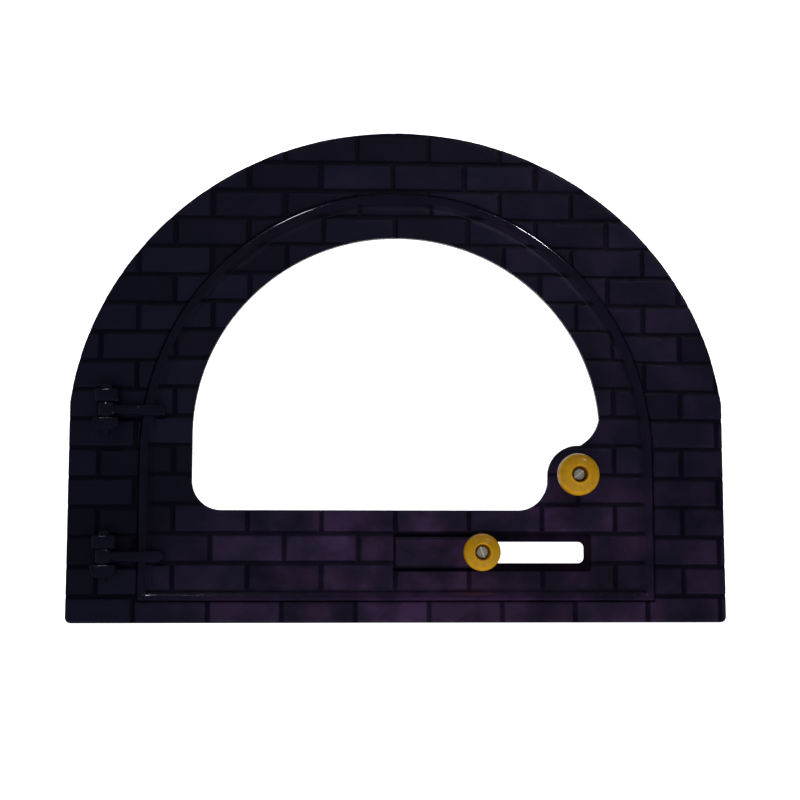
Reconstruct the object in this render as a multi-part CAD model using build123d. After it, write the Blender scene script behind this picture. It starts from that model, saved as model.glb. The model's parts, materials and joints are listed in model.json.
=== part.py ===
from build123d import *
import os
from dataclasses import dataclass
from math import cos, hypot, radians, sin

# Cast-iron oven-mouth door: an arched frame with a brick-pattern face, a hinged leaf with a glass
# window, a turning latch with a knob, and a sliding air damper with a smaller knob.
# Lengths are millimetres. +Z is up, +X is to the right seen from the front, and the front faces -Y.
# The origin is the middle of the frame's lower edge, in the plane of the frame's rear rim.
# A depth is a distance forward of that rear plane, so a point at depth d has y = -d.

# Outline of the frame and the openings in it
FRAME_WIDTH = 510.0
FRAME_HEIGHT = 387.0
FRAME_SPRING = 139.5
FRAME_HEAD_HALF_WIDTH = 257.0
FRAME_CORNER = 4.5
LEAF_HALF_WIDTH = 199.5
LEAF_BASE = 17.0
LEAF_CROWN = 337.0
LEAF_SPRING = 130.0
LEAF_CENTRE = -1.0
WINDOW_HALF_WIDTH = 159.3
WINDOW_BASE = 86.5
WINDOW_SPRING = 145.7
WINDOW_CROWN = 301.9
WINDOW_CORNER = 23.0
WINDOW_LATCH_SIDE_CORNER = 30.0
WINDOW_LATCH_SIDE_DROP = 3.5
WINDOW_LATCH_FOOT_CORNER = 24.0

# Depths and thicknesses of the castings
SEAT_DEPTH = 16.0
FRAME_FRONT = 22.0
LIP_THICKNESS = 5.0
LIP_OVERLAP = 8.0
LIP_LAND = 5.0
SKIRT_THICKNESS = 6.0
LEAF_GAP = 0.9
LEAF_BACK = 16.4
LEAF_FRONT = 22.4
RELIEF = 1.5
RIM_WIDTH = 8.5
RIM_CREST = 25.0
RIM_OUTER_ROUND = 1.5
RIM_SLOPE_WIDTH = 6.0
RIM_SLOPE_FALL = 3.2
RIM_GROOVE = 2.5

# Brick pattern
JOINT_WIDTH = 2.6
BED_WIDTH = 3.0
FRAME_BED_START = 20.5
FRAME_COURSE = 22.78
FRAME_BRICK = 56.8
FRAME_JOINTS = (-5.0, 23.4)
LEAF_BED_START = 23.2
LEAF_COURSE = 22.72
LEAF_BRICK = 57.2
LEAF_JOINTS = (-2.7, 26.0)
SUNKEN_BRICK = 0.7

# Anchor bosses on the back of the frame
ANCHOR_SPACING_X = 448.0
ANCHOR_SPACING_Z = 160.0
ANCHOR_BASE = 40.0
ANCHOR_BOSS_RADIUS = 9.0
ANCHOR_BOSS_BACK = 2.0
ANCHOR_HOLE_RADIUS = 3.4
ANCHOR_HOLE_LENGTH = 12.0

# Hinges
HINGE_X = -225.4
HINGE_DEPTH = 30.0
HINGE_HEIGHTS = {"lower": 50.6, "upper": 163.0}
PIN_RADIUS = 3.0
PIN_HEAD_RADIUS = 4.6
PIN_HEAD_HEIGHT = 3.4
PIN_TAIL = 3.0
PIN_RUNNING_CLEARANCE = 0.08
PIN_FIXED_CLEARANCE = 0.05
KNUCKLE_RADIUS = 7.0
KNUCKLE_HEIGHT = 11.2
KNUCKLE_GAP = 0.4
LUG_HEIGHT = 10.2
LUG_HALF_WIDTH = 9.7
LUG_FRONT = 37.0
LUG_ROUND = 6.0
LUG_EDGE_ROUND = 1.5
LUG_BELLY_ROUND = 6.5
LUG_BELLY_EDGE_ROUND = 3.0
ARM_HEIGHT = 8.0
ARM_END = -180.0
ARM_BACK = 24.0
ARM_ENTRY = 5.0
ARM_ROUND = 1.6
ARM_TOE_ROUND = 5.0

# Glass and its fastening
GASKET_THICKNESS = 1.5
GASKET_EDGE = 0.5
GASKET_SIGHT_EDGE = 1.0
GLASS_THICKNESS = 4.0
GLASS_OVERLAP = 8.0
GLASS_LATCH_RADIUS = 17.0
CLIP_THICKNESS = 2.0
CLIP_WIDTH = 13.0
CLIP_CORNER = 4.3
CLIP_REACH = 6.0
CLIP_SCREW_OFFSET = 7.0
CLIP_TAIL = 6.5
CLIP_ARCH_ANGLES = (8.0, 52.0, 128.0, 172.0)
CLIP_SILL_PLACES = (-105.0, 20.0)
CLIP_BOSS_RADIUS = 5.0
CLIP_SCREW_RADIUS = 2.0
CLIP_SCREW_CLEARANCE = 0.1
CLIP_SCREW_HEAD_RADIUS = 3.8
CLIP_SCREW_HEAD_HEIGHT = 2.6
CLIP_SCREW_BITE = 18.0
CLIP_SCREW_TIP_ROOM = 0.5

# Latch
LATCH_X = 137.3
LATCH_Z = 113.5
LATCH_BOSS_X = 140.5
LATCH_BOSS_RADIUS = 24.0
LATCH_PAD_RADIUS = 13.0
LATCH_KNOB_RADIUS = 16.5
LATCH_KNOB_HEIGHT = 26.0
LATCH_COLLAR_RADIUS = 10.5
LATCH_COLLAR_THICKNESS = 2.0
LATCH_COLLAR_GAP = 0.3
SPINDLE_RADIUS = 6.0
SPINDLE_CLEARANCE = 0.08
TONGUE_FRONT = 10.5
TONGUE_THICKNESS = 4.0
TONGUE_REACH = 52.0
TONGUE_HALF_WIDTH = 8.0
TONGUE_HUB_RADIUS = 11.0
TONGUE_REST_ANGLE = -60.0
LATCH_WASHER_THICKNESS = 1.2
LATCH_WASHER_RADIUS = 8.0
LATCH_NUT_HEIGHT = 4.3
LATCH_NUT_ACROSS_CORNERS = 5.8
LATCH_SCREW_RADIUS = 3.0
LATCH_SLOT_ANGLE = 38.0

# Air damper
DAMPER_KNOB_X = 62.8
DAMPER_Z = 54.0
RECESS_LEFT = -4.2
RECESS_RIGHT = 149.7
RECESS_HEIGHT = 29.4
RECESS_FLOOR = 19.4
RECESS_CORNER = 2.0
SLOT_LEFT = 57.3
SLOT_RIGHT = 144.6
SLOT_HEIGHT = 16.4
SLOT_CORNER = 4.6
DAMPER_LEFT = -3.7
DAMPER_RIGHT = 71.0
DAMPER_HEIGHT = 24.0
DAMPER_FLOOR_GAP = 0.2
DAMPER_FRONT = 22.9
DAMPER_CORNER = 1.5
DAMPER_EDGE_ROUND = 0.8
DAMPER_KNOB_RADIUS = 14.5
DAMPER_KNOB_HEIGHT = 23.0
DAMPER_COLLAR_RADIUS = 9.0
DAMPER_COLLAR_THICKNESS = 1.5
GUIDE_CLEARANCE = 0.4
GUIDE_LENGTH = 10.0
BACKPLATE_WIDTH = 24.0
BACKPLATE_HEIGHT = 25.4
BACKPLATE_THICKNESS = 2.0
BACKPLATE_GAP = 0.3
DAMPER_NUT_HEIGHT = 4.0
DAMPER_NUT_ACROSS_CORNERS = 4.6
DAMPER_SCREW_RADIUS = 2.5
DAMPER_SLOT_ANGLE = -71.0

# Knobs and their screws
KNOB_HOLE_RADIUS = 5.9
KNOB_HOLE_DEPTH = 8.0
KNOB_LIP = 1.4
KNOB_FOOT_SHARE = 0.62
KNOB_WAIST_SHARE = 0.66
KNOB_WAIST_HEIGHT = 0.22
KNOB_BELLY_HEIGHT = 0.64
KNOB_SHOULDER_SHARE = 0.80
KNOB_SHOULDER_HEIGHT = 0.92
KNOB_SCREW_HEAD_RADIUS = 4.35
KNOB_SCREW_HEAD_HEIGHT = 3.0
SCREW_CLEARANCE = 0.1
SCREW_TAIL = 0.8
HEAD_ROUND_SHARE = 0.33
SLOT_WIDTH_SHARE = 0.30
SLOT_DEPTH_SHARE = 0.50


@dataclass(frozen=True)
class Arch:
    """Upright arch outline: straight sides up to the springing line and half an ellipse above it."""

    half_width: float
    base: float
    spring: float
    crown: float
    centre: float
    head_half_width: float

    def face(self, grow=0.0):
        half = self.half_width + grow
        leg = self.spring - self.base + grow
        rise = self.crown - self.spring + grow
        legs = Pos(0, self.spring - leg / 2) * Rectangle(2 * half, leg)
        head = Ellipse(self.head_half_width + grow, rise) & Pos(0, rise / 2) * Rectangle(2 * half, rise)
        return Pos(self.centre, 0) * (legs + Pos(0, self.spring) * head)

    def holds(self, x, z, grow=0.0):
        """Say whether the point at x and z lies inside the outline grown by a margin."""
        across = abs(x - self.centre)
        if z < self.spring:
            return across < self.half_width + grow and z > self.base - grow
        rise = self.crown - self.spring + grow
        return hypot(across / (self.head_half_width + grow), (z - self.spring) / rise) < 1


FRAME = Arch(FRAME_WIDTH / 2, 0.0, FRAME_SPRING, FRAME_HEIGHT, 0.0, FRAME_HEAD_HALF_WIDTH)
LEAF = Arch(LEAF_HALF_WIDTH, LEAF_BASE, LEAF_SPRING, LEAF_CROWN, LEAF_CENTRE, LEAF_HALF_WIDTH)
WINDOW = Arch(
    WINDOW_HALF_WIDTH, WINDOW_BASE, WINDOW_SPRING, WINDOW_CROWN, LEAF_CENTRE, WINDOW_HALF_WIDTH
)

# Depths that follow from the ones above
LIP_BACK = SEAT_DEPTH - LIP_THICKNESS
LEAF_FLOOR = LEAF_FRONT - RELIEF
FRAME_FLOOR = FRAME_FRONT - RELIEF
GLASS_FRONT = LEAF_BACK - GASKET_THICKNESS
GLASS_BACK = GLASS_FRONT - GLASS_THICKNESS
CLIP_BACK = GLASS_BACK - CLIP_THICKNESS
LATCH_COLLAR_BACK = LEAF_FRONT + LATCH_COLLAR_GAP
LATCH_KNOB_BACK = LATCH_COLLAR_BACK + LATCH_COLLAR_THICKNESS
TONGUE_BACK = TONGUE_FRONT - TONGUE_THICKNESS
LATCH_WASHER_BACK = TONGUE_BACK - LATCH_WASHER_THICKNESS
LATCH_NUT_BACK = LATCH_WASHER_BACK - LATCH_NUT_HEIGHT
DAMPER_BACK = RECESS_FLOOR + DAMPER_FLOOR_GAP
DAMPER_KNOB_BACK = DAMPER_FRONT + DAMPER_COLLAR_THICKNESS
BACKPLATE_FRONT = LEAF_BACK - BACKPLATE_GAP
BACKPLATE_BACK = BACKPLATE_FRONT - BACKPLATE_THICKNESS
DAMPER_NUT_BACK = BACKPLATE_BACK - DAMPER_NUT_HEIGHT


def slab(face, back, front):
    """Solid on a face drawn in X and Z, between two depths."""
    return extrude(Plane.XZ.offset(back) * face, amount=front - back)


def block(left, right, bottom, top, back, front):
    """Rectangular solid between two sides, two heights and two depths."""
    face = Pos((left + right) / 2, (bottom + top) / 2) * Rectangle(right - left, top - bottom)
    return slab(face, back, front)


def rod(x, z, radius, back, front):
    """Round solid that runs from front to back."""
    return slab(Pos(x, z) * Circle(radius), back, front)


def upright_rod(radius, bottom, top):
    """Round solid on the hinge axis."""
    return Pos(HINGE_X, -HINGE_DEPTH, bottom) * extrude(Circle(radius), amount=top - bottom)


def hinge_bore(clearance):
    """Hole for the hinge pins, through everything on their axis."""
    return upright_rod(PIN_RADIUS + clearance, 0, FRAME_HEIGHT)


def rounded_near(face, place, radius):
    """Round the corner of a face that lies nearest to a place."""
    return fillet(face.vertices().sort_by_distance((*place, 0))[0], radius)


def front_edges(solid):
    """Edges that lie furthest forward."""
    return solid.edges().group_by(Axis.Y)[0]


def bed_height(start, course, index):
    return start + course * index


def brick_grooves(start, course, brick, joints, reach, floor, front, wanted):
    """Mortar grooves of a running bond: a bed line per course and staggered upright joints."""
    grooves = []
    count = int((FRAME_HEIGHT - start) / course) + 1
    bricks = int(reach / brick) + 1
    for index in range(-1, count):
        bed = bed_height(start, course, index)
        if index >= 0:
            grooves.append(block(-reach, reach, bed - BED_WIDTH / 2, bed + BED_WIDTH / 2, floor, front))
        for step in range(-bricks, bricks + 1):
            x = joints[index % 2] + step * brick
            if wanted(x, bed + course / 2):
                half = JOINT_WIDTH / 2
                grooves.append(block(x - half, x + half, bed, bed + course, floor, front))
    return grooves


def frame_grooves():
    def wanted(x, z):
        return FRAME.holds(x, z, grow=FRAME_COURSE) and not LEAF.holds(x, z, grow=-FRAME_COURSE)

    return brick_grooves(
        FRAME_BED_START, FRAME_COURSE, FRAME_BRICK, FRAME_JOINTS,
        FRAME_WIDTH, FRAME_FLOOR, FRAME_FRONT + RELIEF, wanted,
    )


def leaf_grooves():
    def wanted(x, z):
        return LEAF.holds(x, z) and not WINDOW.holds(x, z, grow=-LEAF_COURSE)

    return brick_grooves(
        LEAF_BED_START, LEAF_COURSE, LEAF_BRICK, LEAF_JOINTS,
        FRAME_WIDTH, LEAF_FLOOR, LEAF_FRONT + RELIEF, wanted,
    )


def latch_corner(radius):
    """Block that fills the window's lower right corner, rounded about the latch boss."""
    left = LATCH_BOSS_X - radius
    top = LATCH_Z + radius
    side = 2 * WINDOW_HALF_WIDTH
    face = Pos(left + side / 2, top - side / 2) * Rectangle(side, side)
    return rounded_near(face, (left, top), radius)


def inner_corner(right, bottom, radius):
    """Web that rounds off the lower right corner of an opening."""
    square = Pos(right - radius / 2, bottom + radius / 2) * Rectangle(radius, radius)
    return square - Pos(right - radius, bottom + radius) * Circle(radius)


def window_face():
    """Window opening of the leaf."""
    face = WINDOW.face() - latch_corner(LATCH_BOSS_RADIUS)
    face = rounded_near(face, (LEAF_CENTRE - WINDOW_HALF_WIDTH, WINDOW_BASE), WINDOW_CORNER)
    foot = (LATCH_BOSS_X - LATCH_BOSS_RADIUS, WINDOW_BASE)
    face = rounded_near(face, foot, WINDOW_LATCH_FOOT_CORNER)
    right = LEAF_CENTRE + WINDOW_HALF_WIDTH
    side_bottom = LATCH_Z + LATCH_BOSS_RADIUS - WINDOW_LATCH_SIDE_DROP
    return face - inner_corner(right, side_bottom, WINDOW_LATCH_SIDE_CORNER)


def pane_face(grow, latch_radius):
    """Outline behind the window: its arch grown by a margin, clear of the latch."""
    face = WINDOW.face(grow) - latch_corner(latch_radius)
    left = LEAF_CENTRE - WINDOW_HALF_WIDTH - grow
    return rounded_near(face, (left, WINDOW_BASE - grow), WINDOW_CORNER)


def anchor_places():
    return [
        (side * ANCHOR_SPACING_X / 2, ANCHOR_BASE + row * ANCHOR_SPACING_Z)
        for side in (-1, 1)
        for row in (0, 1)
    ]


def lug_block(bottom):
    """Plain block of a hinge lug that stands out of the frame, without its pin hole."""
    return block(HINGE_X - LUG_HALF_WIDTH, HINGE_X + LUG_HALF_WIDTH, bottom, bottom + LUG_HEIGHT,
                 FRAME_FLOOR - RELIEF, LUG_FRONT)


def upper_lug(bottom):
    """Upper lug of a pair, with a rounded nose."""
    body = lug_block(bottom)
    body = fillet(front_edges(body).filter_by(Axis.Z), LUG_ROUND)
    return fillet(front_edges(body), LUG_EDGE_ROUND)


def lower_lug(bottom):
    """Lower lug of a pair, with a rounded belly."""
    body = lug_block(bottom)
    body = fillet(body.edges().filter_by(Axis.Y).group_by(Axis.Z)[0], LUG_BELLY_ROUND)
    return fillet(front_edges(body), LUG_BELLY_EDGE_ROUND)


def frame_outline():
    """Outer outline of the frame, with its two lower corners rounded."""
    outline = FRAME.face()
    for side in (-1, 1):
        outline = rounded_near(outline, (side * FRAME_WIDTH / 2, 0), FRAME_CORNER)
    return outline


def frame_plate():
    """Brick-faced front of the fixed ring, open where the leaf lies."""
    plate = slab(frame_outline() - LEAF.face(LEAF_GAP), SEAT_DEPTH, FRAME_FRONT)
    sunken_left = FRAME_JOINTS[1] - FRAME_BRICK
    sunken = block(sunken_left, FRAME_JOINTS[1], 0, FRAME_BED_START,
                   FRAME_FRONT - SUNKEN_BRICK, FRAME_FRONT + RELIEF)
    return plate - frame_grooves() - sunken


def seat_lip():
    """Lip that the closed leaf rests on."""
    return slab(LEAF.face(LEAF_GAP + LIP_LAND) - LEAF.face(-LIP_OVERLAP), LIP_BACK, SEAT_DEPTH)


def rear_skirt():
    """Wall round the outer edge of the ring, behind its plate."""
    return slab(frame_outline() - FRAME.face(-SKIRT_THICKNESS), 0, SEAT_DEPTH)


def rear_bosses():
    """Bored bosses behind the plate, for the anchors in the masonry."""
    hole_end = ANCHOR_BOSS_BACK + ANCHOR_HOLE_LENGTH
    return Compound(children=[
        rod(x, z, ANCHOR_BOSS_RADIUS, ANCHOR_BOSS_BACK, SEAT_DEPTH)
        - rod(x, z, ANCHOR_HOLE_RADIUS, ANCHOR_BOSS_BACK, hole_end)
        for x, z in anchor_places()
    ])


def hinge_lugs(plate):
    """The two pairs of lugs on the plate, set just clear of the knuckles and bored for the pins."""
    spread = KNUCKLE_HEIGHT / 2 + KNUCKLE_GAP
    lugs = [upper_lug(height + spread) for height in HINGE_HEIGHTS.values()]
    lugs += [lower_lug(height - spread - LUG_HEIGHT) for height in HINGE_HEIGHTS.values()]
    bore = hinge_bore(PIN_FIXED_CLEARANCE)
    return Compound(children=[lug - plate - bore for lug in lugs])


def hinge_pin(height):
    """Headed pin through a pair of lugs."""
    top = height + KNUCKLE_HEIGHT / 2 + KNUCKLE_GAP + LUG_HEIGHT
    bottom = height - KNUCKLE_HEIGHT / 2 - KNUCKLE_GAP - LUG_HEIGHT - PIN_TAIL
    head = upright_rod(PIN_HEAD_RADIUS, top, top + PIN_HEAD_HEIGHT)
    head = fillet(head.edges().group_by(Axis.Z)[-1], PIN_HEAD_HEIGHT * HEAD_ROUND_SHARE)
    return upright_rod(PIN_RADIUS, bottom, top) + head


def hinge_arm(height):
    """Arm from the leaf to the hinge axis, with its bored knuckle."""
    leaf_edge = LEAF_CENTRE - LEAF_HALF_WIDTH
    front = HINGE_DEPTH + ARM_HEIGHT / 2
    with BuildLine() as side:
        Polyline(
            (HINGE_X, -ARM_BACK),
            (leaf_edge + ARM_ENTRY, -ARM_BACK),
            (leaf_edge + ARM_ENTRY, -LEAF_FLOOR),
            (ARM_END, -LEAF_FLOOR),
            (ARM_END, -RIM_CREST),
            (ARM_END - KNUCKLE_RADIUS, -front),
            (HINGE_X, -front),
            close=True,
        )
    face = make_face(side.line)
    face = rounded_near(face, (ARM_END - KNUCKLE_RADIUS, -front), ARM_TOE_ROUND)
    arm = Pos(0, 0, height - ARM_HEIGHT / 2) * extrude(face, amount=ARM_HEIGHT)
    arm = fillet(front_edges(arm).filter_by(Axis.X), ARM_ROUND)
    half = KNUCKLE_HEIGHT / 2
    return arm + upright_rod(KNUCKLE_RADIUS, height - half, height + half)


def clip_places():
    """Where each glass clip crosses the pane's edge, and the direction that it points away, in degrees."""
    half = WINDOW_HALF_WIDTH + GLASS_OVERLAP
    rise = WINDOW_CROWN - WINDOW_SPRING + GLASS_OVERLAP
    places = [
        (LEAF_CENTRE + half * cos(radians(angle)), WINDOW_SPRING + rise * sin(radians(angle)), angle)
        for angle in CLIP_ARCH_ANGLES
    ]
    places += [(x, WINDOW_BASE - GLASS_OVERLAP, -90.0) for x in CLIP_SILL_PLACES]
    return places


def clip_screw_places():
    return [
        (x + CLIP_SCREW_OFFSET * cos(radians(angle)), z + CLIP_SCREW_OFFSET * sin(radians(angle)))
        for x, z, angle in clip_places()
    ]


def raised_rim():
    """Rim round the leaf: rounded at its outer edge, and sloping down inwards from its crest."""
    rim = slab(LEAF.face() - LEAF.face(-RIM_WIDTH), LEAF_BACK, RIM_CREST)
    crest = rim.faces().sort_by(Axis.Y)[0]
    rim = chamfer(crest.inner_wires()[0].edges(), RIM_SLOPE_WIDTH, RIM_SLOPE_FALL, reference=crest)
    crest = rim.faces().sort_by(Axis.Y)[0]
    return fillet(crest.outer_wire().edges(), RIM_OUTER_ROUND)


def door_leaf():
    """Leaf casting: plate, brick pads, raised rim, hinge arms, damper recess and clip bosses."""
    window = window_face()
    plate = slab(LEAF.face() - window, LEAF_BACK, LEAF_FLOOR)
    pads = slab(LEAF.face(-RIM_WIDTH - RIM_GROOVE) - window, LEAF_FLOOR, LEAF_FRONT)
    pads -= leaf_grooves()
    body = plate + pads + raised_rim()
    body += rod(LATCH_X, LATCH_Z, LATCH_PAD_RADIUS, LEAF_FLOOR, LEAF_FRONT)
    for x, z in clip_screw_places():
        body += rod(x, z, CLIP_BOSS_RADIUS, GLASS_BACK, LEAF_BACK)
    for height in HINGE_HEIGHTS.values():
        body += hinge_arm(height)
    recess = Pos((RECESS_LEFT + RECESS_RIGHT) / 2, DAMPER_Z) * RectangleRounded(
        RECESS_RIGHT - RECESS_LEFT, RECESS_HEIGHT, RECESS_CORNER
    )
    slot = Pos((SLOT_LEFT + SLOT_RIGHT) / 2, DAMPER_Z) * RectangleRounded(
        SLOT_RIGHT - SLOT_LEFT, SLOT_HEIGHT, SLOT_CORNER
    )
    body -= slab(recess, RECESS_FLOOR, RIM_CREST)
    body -= slab(slot, LEAF_BACK - RELIEF, RECESS_FLOOR + RELIEF)
    body -= rod(LATCH_X, LATCH_Z, SPINDLE_RADIUS + SPINDLE_CLEARANCE, 0, RIM_CREST)
    for x, z in clip_screw_places():
        hole_end = CLIP_SCREW_BITE + CLIP_SCREW_TIP_ROOM
        body -= rod(x, z, CLIP_SCREW_RADIUS + CLIP_SCREW_CLEARANCE, GLASS_BACK, hole_end)
    return body - hinge_bore(PIN_RUNNING_CLEARANCE)


def glass_gasket():
    """Flat seal between the pane and the leaf, round the whole window."""
    outer = pane_face(GLASS_OVERLAP - GASKET_EDGE, GLASS_LATCH_RADIUS + GASKET_EDGE)
    sight = pane_face(GASKET_SIGHT_EDGE, LATCH_BOSS_RADIUS - GASKET_SIGHT_EDGE)
    return slab(outer - sight, GLASS_FRONT, LEAF_BACK)


def glass_pane():
    return slab(pane_face(GLASS_OVERLAP, GLASS_LATCH_RADIUS), GLASS_BACK, GLASS_FRONT)


def glass_clips():
    """Flat clips that hold the pane, each on its own boss."""
    length = CLIP_REACH + CLIP_SCREW_OFFSET + CLIP_TAIL
    middle = length / 2 - CLIP_REACH
    hole = Pos(CLIP_SCREW_OFFSET, 0) * Circle(CLIP_SCREW_RADIUS + CLIP_SCREW_CLEARANCE)
    strip = Pos(middle, 0) * RectangleRounded(length, CLIP_WIDTH, CLIP_CORNER) - hole
    return Compound(children=[
        slab(Pos(x, z) * Rot(0, 0, angle) * strip, CLIP_BACK, GLASS_BACK)
        for x, z, angle in clip_places()
    ])


def slotted_head(x, z, radius, height, seat, towards_front, slot_angle):
    """Round screw head with a rounded face and a straight slot, on a seat at a given depth."""
    outer = seat + height * towards_front
    head = rod(x, z, radius, min(seat, outer), max(seat, outer))
    face_edge = head.edges().group_by(Axis.Y)[0 if towards_front > 0 else -1]
    head = fillet(face_edge, height * HEAD_ROUND_SHARE)
    slot_floor = outer - height * SLOT_DEPTH_SHARE * towards_front
    slot = Pos(x, z) * Rot(0, 0, slot_angle) * Rectangle(2 * radius + height, radius * SLOT_WIDTH_SHARE)
    return head - slab(slot, min(slot_floor, outer), max(slot_floor, outer))


def clip_screws():
    """Slotted screws that hold the clips, driven from the back."""
    screws = []
    for (x, z), (_, _, angle) in zip(clip_screw_places(), clip_places()):
        head = slotted_head(x, z, CLIP_SCREW_HEAD_RADIUS, CLIP_SCREW_HEAD_HEIGHT, CLIP_BACK, -1, angle)
        screws.append(head + rod(x, z, CLIP_SCREW_RADIUS, CLIP_BACK, CLIP_SCREW_BITE))
    return Compound(children=screws)


def turned_knob(x, z, back, radius, height, bore):
    """Turned knob with a narrow waist, a wide belly and a hole in its face that sinks the screw head."""
    seat = height - KNOB_HOLE_DEPTH
    foot = (radius * KNOB_FOOT_SHARE, 0)
    lip = (KNOB_HOLE_RADIUS + KNOB_LIP, height)
    with BuildLine() as profile:
        Spline(
            foot,
            (radius * KNOB_WAIST_SHARE, height * KNOB_WAIST_HEIGHT),
            (radius, height * KNOB_BELLY_HEIGHT),
            (radius * KNOB_SHOULDER_SHARE, height * KNOB_SHOULDER_HEIGHT),
            lip,
        )
        Polyline(lip, (KNOB_HOLE_RADIUS, height - KNOB_LIP / 2), (KNOB_HOLE_RADIUS, seat),
                 (bore, seat), (bore, 0), foot)
    body = revolve(make_face(profile.line), Axis.Y)
    return Pos(x, -back, z) * Rot(180, 0, 0) * body


def ring(x, z, radius, bore, back, front):
    """Washer or collar that lies across the front-to-back axis."""
    return slab(Pos(x, z) * (Circle(radius) - Circle(bore)), back, front)


def hex_nut(x, z, corner_radius, bore, back, front):
    return slab(Pos(x, z) * (RegularPolygon(corner_radius, 6) - Circle(bore)), back, front)


def knob_screw(x, z, radius, head_seat, end, slot_angle):
    """Long screw through a knob, with a slotted head on the seat inside the knob."""
    head = slotted_head(x, z, KNOB_SCREW_HEAD_RADIUS, KNOB_SCREW_HEAD_HEIGHT, head_seat, 1, slot_angle)
    return head + rod(x, z, radius, end, head_seat)


def latch_parts():
    """Latch: knob, collar, spindle through the leaf, tongue behind it, washer, nut and screw."""
    at = (LATCH_X, LATCH_Z)
    bore = LATCH_SCREW_RADIUS + SCREW_CLEARANCE
    strip = Pos(TONGUE_REACH / 2, 0) * Rectangle(TONGUE_REACH, 2 * TONGUE_HALF_WIDTH)
    tip = Pos(TONGUE_REACH, 0) * Circle(TONGUE_HALF_WIDTH)
    tongue = Circle(TONGUE_HUB_RADIUS) + strip + tip - Circle(bore)
    seat = LATCH_KNOB_BACK + LATCH_KNOB_HEIGHT - KNOB_HOLE_DEPTH
    return {
        "latch_knob": turned_knob(*at, LATCH_KNOB_BACK, LATCH_KNOB_RADIUS, LATCH_KNOB_HEIGHT, bore),
        "latch_collar": ring(*at, LATCH_COLLAR_RADIUS, bore, LATCH_COLLAR_BACK, LATCH_KNOB_BACK),
        "latch_spindle": ring(*at, SPINDLE_RADIUS, bore, TONGUE_FRONT, LATCH_COLLAR_BACK),
        "latch_tongue": slab(Pos(*at) * Rot(0, 0, TONGUE_REST_ANGLE) * tongue, TONGUE_BACK, TONGUE_FRONT),
        "latch_washer": ring(*at, LATCH_WASHER_RADIUS, bore, LATCH_WASHER_BACK, TONGUE_BACK),
        "latch_nut": hex_nut(*at, LATCH_NUT_ACROSS_CORNERS, bore, LATCH_NUT_BACK, LATCH_WASHER_BACK),
        "latch_screw": knob_screw(
            *at, LATCH_SCREW_RADIUS, seat, LATCH_NUT_BACK - SCREW_TAIL, LATCH_SLOT_ANGLE
        ),
    }


def damper_plate():
    """Brick-like slide in the recess, with softened front edges."""
    width = DAMPER_RIGHT - DAMPER_LEFT
    face = Pos((DAMPER_LEFT + DAMPER_RIGHT) / 2, DAMPER_Z) * RectangleRounded(
        width, DAMPER_HEIGHT, DAMPER_CORNER
    )
    body = fillet(front_edges(slab(face, DAMPER_BACK, DAMPER_FRONT)), DAMPER_EDGE_ROUND)
    return body - rod(DAMPER_KNOB_X, DAMPER_Z, DAMPER_SCREW_RADIUS + SCREW_CLEARANCE, 0, LUG_FRONT)


def damper_parts():
    """Air damper: slide, knob, collar, guide block in the slot, back plate, nut and screw."""
    at = (DAMPER_KNOB_X, DAMPER_Z)
    bore = DAMPER_SCREW_RADIUS + SCREW_CLEARANCE
    guide = RectangleRounded(GUIDE_LENGTH, SLOT_HEIGHT - 2 * GUIDE_CLEARANCE, SLOT_CORNER) - Circle(bore)
    backplate = RectangleRounded(BACKPLATE_WIDTH, BACKPLATE_HEIGHT, DAMPER_CORNER) - Circle(bore)
    seat = DAMPER_KNOB_BACK + DAMPER_KNOB_HEIGHT - KNOB_HOLE_DEPTH
    return {
        "damper_plate": damper_plate(),
        "damper_knob": turned_knob(*at, DAMPER_KNOB_BACK, DAMPER_KNOB_RADIUS, DAMPER_KNOB_HEIGHT, bore),
        "damper_collar": ring(*at, DAMPER_COLLAR_RADIUS, bore, DAMPER_FRONT, DAMPER_KNOB_BACK),
        "damper_guide": slab(Pos(*at) * guide, BACKPLATE_FRONT, DAMPER_BACK),
        "damper_backplate": slab(Pos(*at) * backplate, BACKPLATE_BACK, BACKPLATE_FRONT),
        "damper_nut": hex_nut(*at, DAMPER_NUT_ACROSS_CORNERS, bore, DAMPER_NUT_BACK, BACKPLATE_BACK),
        "damper_screw": knob_screw(
            *at, DAMPER_SCREW_RADIUS, seat, DAMPER_NUT_BACK - SCREW_TAIL, DAMPER_SLOT_ANGLE
        ),
    }


def build_nodes():
    plate = frame_plate()
    nodes = {
        "frame": plate,
        "seat_lip": seat_lip(),
        "rear_skirt": rear_skirt(),
        "rear_bosses": rear_bosses(),
        "hinge_lugs": hinge_lugs(plate),
        "door_leaf": door_leaf(),
        "glass_gasket": glass_gasket(),
        "glass_pane": glass_pane(),
        "glass_clips": glass_clips(),
        "clip_screws": clip_screws(),
    }
    for name, height in HINGE_HEIGHTS.items():
        nodes[f"hinge_pin_{name}"] = hinge_pin(height)
    nodes.update(latch_parts())
    nodes.update(damper_parts())
    return nodes


os.makedirs("parts", exist_ok=True)
for name, shape in build_nodes().items():
    export_step(shape, f"parts/{name}.step")
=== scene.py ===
import json
from collections import namedtuple
from math import floor, hypot, pi, radians

import bmesh
import bpy
from bpy.props import FloatProperty, FloatVectorProperty, PointerProperty
from mathutils import Matrix, Vector, noise


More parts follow.
